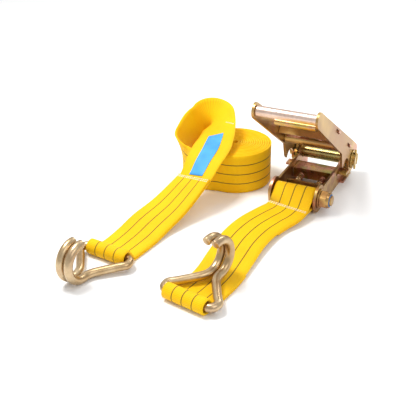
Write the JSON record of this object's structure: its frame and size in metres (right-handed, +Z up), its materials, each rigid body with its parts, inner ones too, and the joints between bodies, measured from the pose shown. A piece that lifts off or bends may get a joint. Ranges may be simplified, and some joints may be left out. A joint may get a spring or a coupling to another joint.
{
  "type": "ratchet tie down",
  "caption": "Webbing ratchet tie down: ratchet with a short hooked strap, and a long hooked strap rolled up beside it, for lashing loads.",
  "frame": {"origin": "middle of the footprint, on the ground", "axes": "+Z up, +X along the ratchet's spool axis towards its nut side, +Y from the ratchet's webbing bolt towards its spool"},
  "size_m": [0.2186, 0.3934, 0.1405],
  "materials": {
    "zinc_frame": "yellow zinc plated, brownish gold",
    "zinc_spool": "yellow zinc plated, olive gold",
    "zinc_handle": "yellow zinc plated, satin, pale bronze",
    "zinc_pawl": "yellow zinc plated, green and pink tints",
    "zinc_hook": "yellow zinc plated, bright tan",
    "spring_wire": "plated spring wire",
    "nylon": "moulded ring",
    "webbing": "woven polyester, three dark tracer lines on one face",
    "label_fabric": null
  },
  "bodies": {
    "frame_and_long_strap": {"ratchet_frame": "zinc_frame", "webbing_bolt": "zinc_frame", "bolt_sleeve": "zinc_frame", "bolt_washer": "zinc_frame", "lock_nut": "zinc_frame", "nut_insert": "nylon", "lock_spring_left": "spring_wire", "lock_spring_right": "spring_wire", "lock_spring_pin_left": "zinc_frame", "lock_spring_pin_right": "zinc_frame", "long_strap_lead": "webbing", "long_strap_near_band": "webbing", "long_strap_curl": "webbing", "long_strap_far_wall": "webbing", "long_strap_roll": "webbing", "strap_label": "label_fabric"},
    "spool_set": {"spool_half_back": "zinc_spool", "spool_half_front": "zinc_spool", "ratchet_wheel_left": "zinc_spool", "ratchet_wheel_right": "zinc_spool", "spool_washer_left": "zinc_spool", "spool_washer_right": "zinc_spool", "cotter_pin_left": "zinc_spool", "cotter_pin_right": "zinc_spool"},
    "handle_set": {"handle_plate_left": "zinc_handle", "handle_plate_right": "zinc_handle", "handle_grip": "zinc_handle", "handle_cross_tube": "zinc_handle", "spring_bridge": "zinc_handle", "drive_spring_left": "spring_wire", "drive_spring_right": "spring_wire"},
    "release_plate": {"drive_pawl": "zinc_pawl"},
    "lock_plate": {"lock_pawl": "zinc_pawl"},
    "short_strap_set": {"short_strap": "webbing"},
    "short_hook_set": {"short_strap_hook": "zinc_hook"},
    "long_hook_set": {"long_strap_hook": "zinc_hook"}
  },
  "joints": [
    {"name": "handle_swing", "type": "hinge", "parent": "frame_and_long_strap", "child": "handle_set", "pos_m": [0.06476, 0.17633, 0.026], "axis": [1, 0, 0], "range_deg": [-140, 26]},
    {"name": "spool_turn", "type": "hinge", "parent": "frame_and_long_strap", "child": "spool_set", "pos_m": [0.06476, 0.17633, 0.026], "axis": [1, 0, 0], "continuous": true},
    {"name": "release_slide", "type": "slide", "parent": "handle_set", "child": "release_plate", "axis": [0, -0.8191, 0.5736], "range_m": [0, 0.005], "stiffness_N_per_m": 800, "springref_m": -0.004, "deforming": ["drive_spring_left", "drive_spring_right"]},
    {"name": "lock_slide", "type": "slide", "parent": "frame_and_long_strap", "child": "lock_plate", "axis": [0, -1, 0], "range_m": [0, 0.005], "stiffness_N_per_m": 600, "springref_m": -0.004, "deforming": ["lock_spring_left", "lock_spring_right"]},
    {"name": "short_strap_swing", "type": "hinge", "parent": "frame_and_long_strap", "child": "short_strap_set", "pos_m": [0.06476, 0.07233, 0.0165], "axis": [1, 0, 0], "range_deg": [-45, 0]},
    {"name": "short_hook_swing", "type": "hinge", "parent": "short_strap_set", "child": "short_hook_set", "pos_m": [0.03886, -0.16627, 0.0088], "axis": [0.9781, -0.2079, 0], "range_deg": [0, 125]},
    {"name": "long_hook_swing", "type": "hinge", "parent": "frame_and_long_strap", "child": "long_hook_set", "pos_m": [-0.07294, -0.12407, 0.0088], "axis": [-0.9914, 0.1305, 0], "range_deg": [0, 125]}
  ]
}
